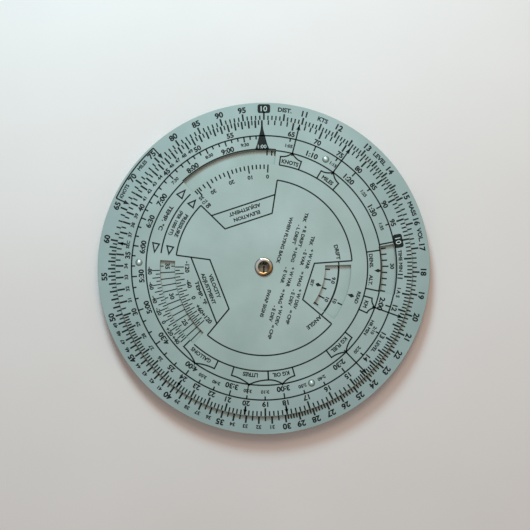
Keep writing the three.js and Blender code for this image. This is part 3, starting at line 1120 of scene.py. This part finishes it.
def grip_dome(bearing):
    """A finger bump pressed up through the disc, with a soft foot."""
    foot, root, steps = 1.5, 0.2, 14
    profile = [(0, DISC_FACE - root), (foot, DISC_FACE - root)]
    for i in range(steps + 1):
        share = 1 - i / steps
        profile.append((foot * share, DISC_FACE + DOME_HEIGHT * (1 + math.cos(math.pi * share)) / 2))
    centre = polar(DOME_ORBIT, bearing + DISC_TURN_AT_REST)
    vertices, faces = turned_parts(profile, 48, centre)
    return vertices, faces, [DOME_PAINT_SLOT] * len(faces)


def computer_disc():
    windows = (ALTITUDE_WINDOW, AIRSPEED_WINDOW, DENSITY_WINDOW, DRIFT_WINDOW)
    holes = [circle(DISC_BORE, BORE_STEPS)] + [sector(window, DISC_TURN_AT_REST) for window in windows]
    sheet = plate_parts(circle(DISC_RADIUS), holes, level("computer_disc")[0], DISC_FACE, EDGE_BEVEL)
    vertices, faces, slots = merged(sheet, *[grip_dome(bearing) for bearing in DOME_BEARINGS])
    disc = make_piece("computer_disc_face", vertices, faces, (FACE_PAINT, PAINT_EDGE, DOME_PAINTED_LIGHT), slots)
    stands_for(disc, "computer_disc", "computer_disc", "dial_paint")
    disc_print()


# ---- pivot ----

def pivot_eyelet():
    """A tube rolled over in a bead on the front and flared flat at the back."""
    hole, barrel, foot, foot_thickness = 2.25, 2.95, 4.3, 0.35
    bead, bead_height, steps = 0.75, 0.5625, 16
    bottom, top = level("pivot_eyelet")
    foot_top = bottom + foot_thickness
    profile = [(hole, bottom), (foot, bottom), (foot, foot_top), (barrel, foot_top), (barrel, top - bead)]
    across, centre = (EYELET_ROLL - hole) / 2, (EYELET_ROLL + hole) / 2
    for i in range(steps + 1):
        turn = math.radians(-20 + 200 * i / steps)
        height = top - bead_height + bead_height * math.sin(turn)
        profile.append((centre + across * math.cos(turn), height))
    turned("pivot_eyelet", "rolled", profile, EYELET_NICKEL, "frame", "eyelet_nickel", steps=128)


def washer(node, radius, material, slot):
    bore = [circle(WASHER_BORE, BORE_STEPS)]
    plate(node, "sheet", circle(radius, BORE_STEPS), bore, (material, material), bevel=0.05, slot=slot)


# ---- slide channel ----

SLIDE_SPEED_ORIGIN = -118.0
SLIDE_MM_PER_KNOT = 1.0
GRID_HAIRLINE = 0.12


def rail(node, side):
    """A spacer beside the slide, with a pocket for its spring."""
    reach = math.degrees(math.acos(RAIL_EDGE / PLATE_RADIUS))
    pocket, half = RAIL_EDGE + 2.3, 16.0
    outline = arc(PLATE_RADIUS, 90 - reach, 90 + reach)
    outline += [(RAIL_EDGE, -half), (pocket, -half), (pocket, half), (RAIL_EDGE, half)]
    bare = (PLATE_ALUMINIUM, PLATE_ALUMINIUM)
    plate(node, "bar", [(side * x, y) for x, y in outline], [], bare, bevel=0.1)


def spring(node, side):
    """A bowed leaf whose crest bears on the slide's edge."""
    thickness, half_length, clearance, bow, steps = 0.3, 15.6, 0.05, 2.2, 24
    inner, outer = [], []
    for i in range(-steps, steps + 1):
        share = i / steps
        x = SLIDE_HALF_WIDTH + clearance + bow * share ** 2
        inner.append((side * x, half_length * share))
        outer.append((side * (x + thickness), half_length * share))
    steel = (SPRING_STEEL, SPRING_STEEL)
    plate(node, "leaf", inner + outer[::-1], [], steel, bevel=0.05, slot="screw_steel")


def on_slide(point):
    margin = 1.0
    return abs(point[0]) < SLIDE_HALF_WIDTH - margin and math.hypot(*point) < SLIDE_END_RADIUS - margin


def runs_on_slide(points):
    """The stretches of a line that lie on the slide, with at least two points each."""
    run = []
    for point in points:
        if on_slide(point):
            run.append(point)
            continue
        if len(run) > 1:
            yield run
        run = []
    if len(run) > 1:
        yield run


def wind_point(knots, drift):
    """Where a speed and a drift angle meet, in the fan whose centre is below the slide."""
    x, y = polar(knots * SLIDE_MM_PER_KNOT, drift)
    return x, y + SLIDE_SPEED_ORIGIN


def wind_lines(grid):
    """Speed arcs, and the drift lines that fan out across them."""
    speeds, drifts = range(50, 190, 2), range(-40, 41, 2)
    for knots in speeds:
        curve = [wind_point(knots, half_degrees / 2) for half_degrees in range(-100, 101)]
        for run in runs_on_slide(curve):
            grid.ribbon(run, GRID_HAIRLINE if knots % 10 else FINE_LINE)
    for drift in drifts:
        for run in runs_on_slide([wind_point(knots, drift) for knots in speeds]):
            grid.ribbon([run[0], run[-1]], GRID_HAIRLINE if drift % 10 else FINE_LINE)


def wind_numbers(numbers, grounds):
    """Numbers along the middle drift line, and across one speed arc, each on its own ground."""
    width, height = 1.8, 1.9
    half_digit, half_height = 1.1, 1.4
    places = [(0, knots) for knots in range(60, 190, 10)] + [(-10, 130), (10, 130)]
    for drift, knots in places:
        x, y = wind_point(knots, drift)
        if not on_slide((x, y)):
            continue
        label = str(abs(drift) or knots)
        half = half_digit * len(label)
        corners = ((-half, -half_height), (half, -half_height), (half, half_height), (-half, half_height))
        grounds.add(*prism([[(x + dx, y + dy) for dx, dy in corners]]))
        shape, faces = lettering(label)
        numbers.add([(x + width * px, y + height * py, depth) for px, py, depth in shape], faces)


def wind_grid(face, up, name):
    """The print on one face of the slide."""
    grid = Print(face, up=up)
    wind_lines(grid)
    grid.finish(f"{name}_lines", "wind_slide", "aluminium", BLACK_INK)
    grounds = Print(face, up=up, lift=INK_HEIGHT)
    numbers = Print(face, up=up, lift=2 * INK_HEIGHT)
    wind_numbers(numbers, grounds)
    grounds.finish(f"{name}_number_grounds", "wind_slide", "aluminium", SLIDE_PAINT)
    numbers.finish(f"{name}_numbers", "wind_slide", "aluminium", BLACK_INK)


def wind_slide():
    reach = math.degrees(math.asin(SLIDE_HALF_WIDTH / SLIDE_END_RADIUS))
    outline = arc(SLIDE_END_RADIUS, -reach, reach) + arc(SLIDE_END_RADIUS, 180 - reach, 180 + reach)
    plate("wind_slide", "card", outline, [], (SLIDE_PAINT, PAINT_EDGE), bevel=0.1, body="wind_slide")
    bottom, top = level("wind_slide")
    wind_grid(bottom, -1, "wind_grid_back")
    wind_grid(top, 1, "wind_grid_front")


# ---- wind side ----

def notched_outline():
    """The back plates' outline, with a thumb notch at its top and bottom."""
    rim, offset, notch = PLATE_RADIUS, THUMB_NOTCH_OFFSET, THUMB_NOTCH_RADIUS
    meet = math.degrees(math.acos((rim ** 2 + offset ** 2 - notch ** 2) / (2 * rim * offset)))
    meet_x, meet_y = polar(rim, meet)
    reach = math.degrees(math.atan2(meet_x, offset - meet_y))
    half = arc(rim, meet, 180 - meet)
    half += [(x, y - offset) for x, y in arc(notch, reach, -reach, 4)[1:-1]]
    return half + [(-x, -y) for x, y in half]


def screw_holes(orbit, bearings, radius):
    return [circle(radius, 32, polar(orbit, bearing)) for bearing in bearings]


def back_plates():
    outline = notched_outline()
    frame_holes = screw_holes(FRAME_SCREW_ORBIT, FRAME_SCREW_BEARINGS, radius=1.0)
    bezel_holes = screw_holes(BEZEL_SCREW_ORBIT, BEZEL_SCREW_BEARINGS, radius=0.9)
    channel_holes = [circle(CHANNEL_OPENING), *frame_holes]
    back_holes = [circle(BACK_OPENING), *frame_holes, *bezel_holes]
    bare, painted = (PLATE_ALUMINIUM, PLATE_ALUMINIUM), (BACK_PAINT, PAINT_EDGE)
    plate("channel_plate", "sheet", outline, channel_holes, bare, bevel=0.06)
    plate("back_frame", "sheet", outline, back_holes, painted, bevel=0.14, slot="dial_paint")


def reach_by_step(degrees, short, middle, tall):
    """How long a mark is: tall on each tenth degree, and middling on each fifth."""
    return tall if degrees % 10 == 0 else middle if degrees % 5 == 0 else short


def azimuth_bezel():
    """The ring over the azimuth's rim, with a drift scale each side of its index."""
    holes = [circle(BEZEL_OPENING), *screw_holes(BEZEL_SCREW_ORBIT, BEZEL_SCREW_BEARINGS, radius=1.65)]
    plate("azimuth_bezel", "ring", circle(BEZEL_RADIUS), holes, (BACK_PAINT, PAINT_EDGE),
          bevel=0.16, slot="dial_paint", raised=INK_HEIGHT)
    marks = Print(level("azimuth_bezel")[0] + INK_HEIGHT, up=-1)
    edge, index_back, index_half = 54.9, 57.6, 1.6
    marks.shape((edge, 0), (index_back, -index_half), (index_back, index_half))
    for drift in range(1, 46):
        reach = reach_by_step(drift, 1.2, 1.9, 2.4)
        for side in (-1, 1):
            marks.tick(side * drift, edge, edge + reach, width=HAIRLINE)
            if drift % 10 == 0:
                marks.text(str(drift), side * drift, 59.0, 1.7)
    marks.finish("azimuth_bezel_print", "frame", "dial_paint", BLACK_INK)


def azimuth_ring():
    """The compass ring, with its degrees on the back face."""
    inner, rebate, grip, flange = 44.0, 46.2, 54.2, 57.2
    ledge, flange_bottom = 1.1, 0.95
    bottom, top = level("azimuth_ring")
    profile = [
        (inner, bottom), (grip, bottom), (grip, flange_bottom), (flange, flange_bottom),
        (flange, top), (rebate, top), (rebate, ledge), (inner, ledge),
    ]
    turned("azimuth_ring", "turned", rounded(profile, 0.12), RING_ALUMINIUM, "azimuth", "aluminium")
    rose = Print(bottom, up=-1)
    edge, degree_line, circle_radius, numbers, letters = 53.9, 0.2, 45.2, (49.6, 1.9), (49.2, 2.8)
    for degree in range(360):
        reach = reach_by_step(degree, 1.3, 2.0, 2.6)
        rose.tick(degree, edge - reach, edge, width=degree_line if degree % 10 else FINE_LINE)
        if degree % 10 == 0 and degree % 90:
            rose.text(f"{degree // 10:02d}", degree, *numbers)
    for i, letter in enumerate("NESW"):
        rose.text(letter, 90 * i, *letters)
    rose.line(*[(circle_radius, degree) for degree in range(360)], width=HAIRLINE, closed=True)
    rose.finish("azimuth_ring_print", "azimuth", "aluminium", BLACK_INK)


def azimuth_window():
    plastic, slot = (WINDOW_PLASTIC, WINDOW_PLASTIC), "window_plastic"
    rim, eye = circle(radius_of("azimuth_window")), circle(1.0, steps=48)
    plate("azimuth_window", "sheet", rim, [eye], plastic, bevel=0.06, body="azimuth", slot=slot)
    cross = Print(level("azimuth_window")[0], up=-1)
    for bearing in (0, 90, 180, 270):
        cross.tick(bearing, inner=2.6, outer=43.6, width=0.14)
    cross.finish("azimuth_window_print", "azimuth", slot, BLACK_INK)


def azimuth_grommet():
    hole, barrel, flange = 0.5, 0.95, 2.2
    bottom, top = level("azimuth_grommet")
    window_bottom, window_top = level("azimuth_window")
    profile = [
        (hole, bottom), (flange, bottom), (flange, window_bottom), (barrel, window_bottom),
        (barrel, window_top), (flange, window_top), (flange, top), (hole, top),
    ]
    turned("azimuth_grommet", "eye", rounded(profile, 0.1), NICKEL, "azimuth", "eyelet_nickel", steps=96)


# ---- screws ----

def cut_slot(piece, half_size, middle):
    """Cuts a box out of the piece. middle is the height of the box's centre."""
    signs = [(sx, sy, sz) for sx in (-1, 1) for sy in (-1, 1) for sz in (-1, 1)]
    width, depth, height = half_size
    corners = [(sx * width, sy * depth, middle + sz * height) for sx, sy, sz in signs]
    sides = [(0, 1, 3, 2), (4, 5, 7, 6), (0, 1, 5, 4), (2, 3, 7, 6), (0, 2, 6, 4), (1, 3, 7, 5)]
    cutter = make_piece("slot_cutter", corners, sides, [SCREW_STEEL])
    cut = piece.modifiers.new("slot", "BOOLEAN")
    cut.operation = "DIFFERENCE"
    cut.object = cutter
    bpy.context.view_layer.update()
    depsgraph = bpy.context.evaluated_depsgraph_get()
    slotted = bpy.data.meshes.new_from_object(piece.evaluated_get(depsgraph))
    piece.modifiers.clear()
    piece.data = slotted
    bpy.data.objects.remove(cutter)


def screw(node, centre, slot_turn, head_radius, head_height, shank_radius):
    """A pan head screw put in from the back, with a slot cut across its head."""
    bottom, top = level(node)
    seat, dome_height, dome_steps = bottom + head_height, head_height * 0.6, 6
    profile = [(0, bottom)]
    for i in range(1, dome_steps + 1):
        turn = math.pi / 2 * i / dome_steps
        profile.append((head_radius * math.sin(turn), bottom + dome_height * (1 - math.cos(turn))))
    profile += [(head_radius, seat), (shank_radius, seat), (shank_radius, top), (0, top)]
    vertices, faces = turned_parts(profile, 40)
    piece = make_piece(f"{node}_turned", vertices, faces, [SCREW_STEEL], smooth_below=SMOOTH_TURNED_DEG)
    cut_slot(piece, (2 * head_radius, 0.2, head_height * 0.45), bottom)
    turn = math.radians(slot_turn)
    for vertex in piece.data.vertices:
        x, y, z = vertex.co
        vertex.co = (
            x * math.cos(turn) - y * math.sin(turn) + centre[0] * MM,
            x * math.sin(turn) + y * math.cos(turn) + centre[1] * MM,
            z,
        )
    piece.data.shade_smooth()
    piece.data.set_sharp_from_angle(angle=math.radians(SMOOTH_TURNED_DEG))
    stands_for(piece, node, "frame", "screw_steel")


def screws():
    """Every screw, each with its slot left at its own angle."""
    slot_step, bezel_start = 67, 25
    for i, bearing in enumerate(FRAME_SCREW_BEARINGS):
        centre = polar(FRAME_SCREW_ORBIT, bearing)
        turn = i * slot_step
        screw(f"frame_screw_{i + 1}", centre, turn, head_radius=1.7, head_height=0.65, shank_radius=0.9)
    for i, bearing in enumerate(BEZEL_SCREW_BEARINGS):
        centre = polar(BEZEL_SCREW_ORBIT, bearing)
        turn = bezel_start + i * slot_step
        screw(f"bezel_screw_{i + 1}", centre, turn, head_radius=1.5, head_height=0.4, shank_radius=0.8)


# ---- studio ----

def look_at(thing, target):
    direction = Vector(target) - thing.location
    thing.rotation_euler = direction.to_track_quat("-Z", "Y").to_euler()


def camera():
    """Nearly square to the face, from a little below the dial."""
    distance, elevation = 0.4286, math.radians(86.7)
    target = Vector((0.00048, 0.00079, DISC_FACE * MM))
    data = bpy.data.cameras.new("camera")
    data.lens = 69.3
    data.sensor_width = 36
    data.clip_start = 0.01
    eye = bpy.data.objects.new("camera", data)
    eye.location = target + distance * Vector((0, -math.cos(elevation), math.sin(elevation)))
    look_at(eye, target)
    link(eye)
    bpy.context.scene.camera = eye


def soft_light(name, place, size, power, colour):
    data = bpy.data.lights.new(name, "AREA")
    data.shape = "DISK"
    data.size = size
    data.energy = power
    data.color = colour
    lamp = bpy.data.objects.new(name, data)
    lamp.location = place
    look_at(lamp, (0, 0, 0))
    link(lamp)


def studio():
    half = 3.0
    corners = [(-half, -half, 0), (half, -half, 0), (half, half, 0), (-half, half, 0)]
    mesh = bpy.data.meshes.new("studio_floor")
    mesh.from_pydata(corners, [], [(0, 1, 2, 3)])
    mesh.materials.append(GROUND)
    floor = bpy.data.objects.new("studio_floor", mesh)
    link(floor)
    soft_light("key", (-0.10, 0.45, 0.315), size=0.18, power=3.04, colour=(0.51, 0.86, 1.0))
    soft_light("fill", (0.08, 0.36, 0.5), size=0.3, power=1.1, colour=(1.0, 0.8, 0.62))
    world = bpy.data.worlds.new("studio_world")
    world.use_nodes = True
    background = world.node_tree.nodes["Background"]
    background.inputs["Color"].default_value = (1.0, 0.93, 0.88, 1)
    background.inputs["Strength"].default_value = 0.4
    bpy.context.scene.world = world
    bpy.context.scene.view_settings.view_transform = "Standard"


camera()
studio()
base_plate()
computer_disc()
pivot_eyelet()
washer("disc_washer", radius=9.0, material=NYLON, slot="nylon")
washer("eyelet_washer", radius=6.0, material=SCREW_STEEL, slot="screw_steel")
for name, side in (("left", -1), ("right", 1)):
    rail(f"rail_{name}", side)
    spring(f"slide_spring_{name}", side)
wind_slide()
back_plates()
azimuth_bezel()
azimuth_ring()
azimuth_window()
azimuth_grommet()
screws()
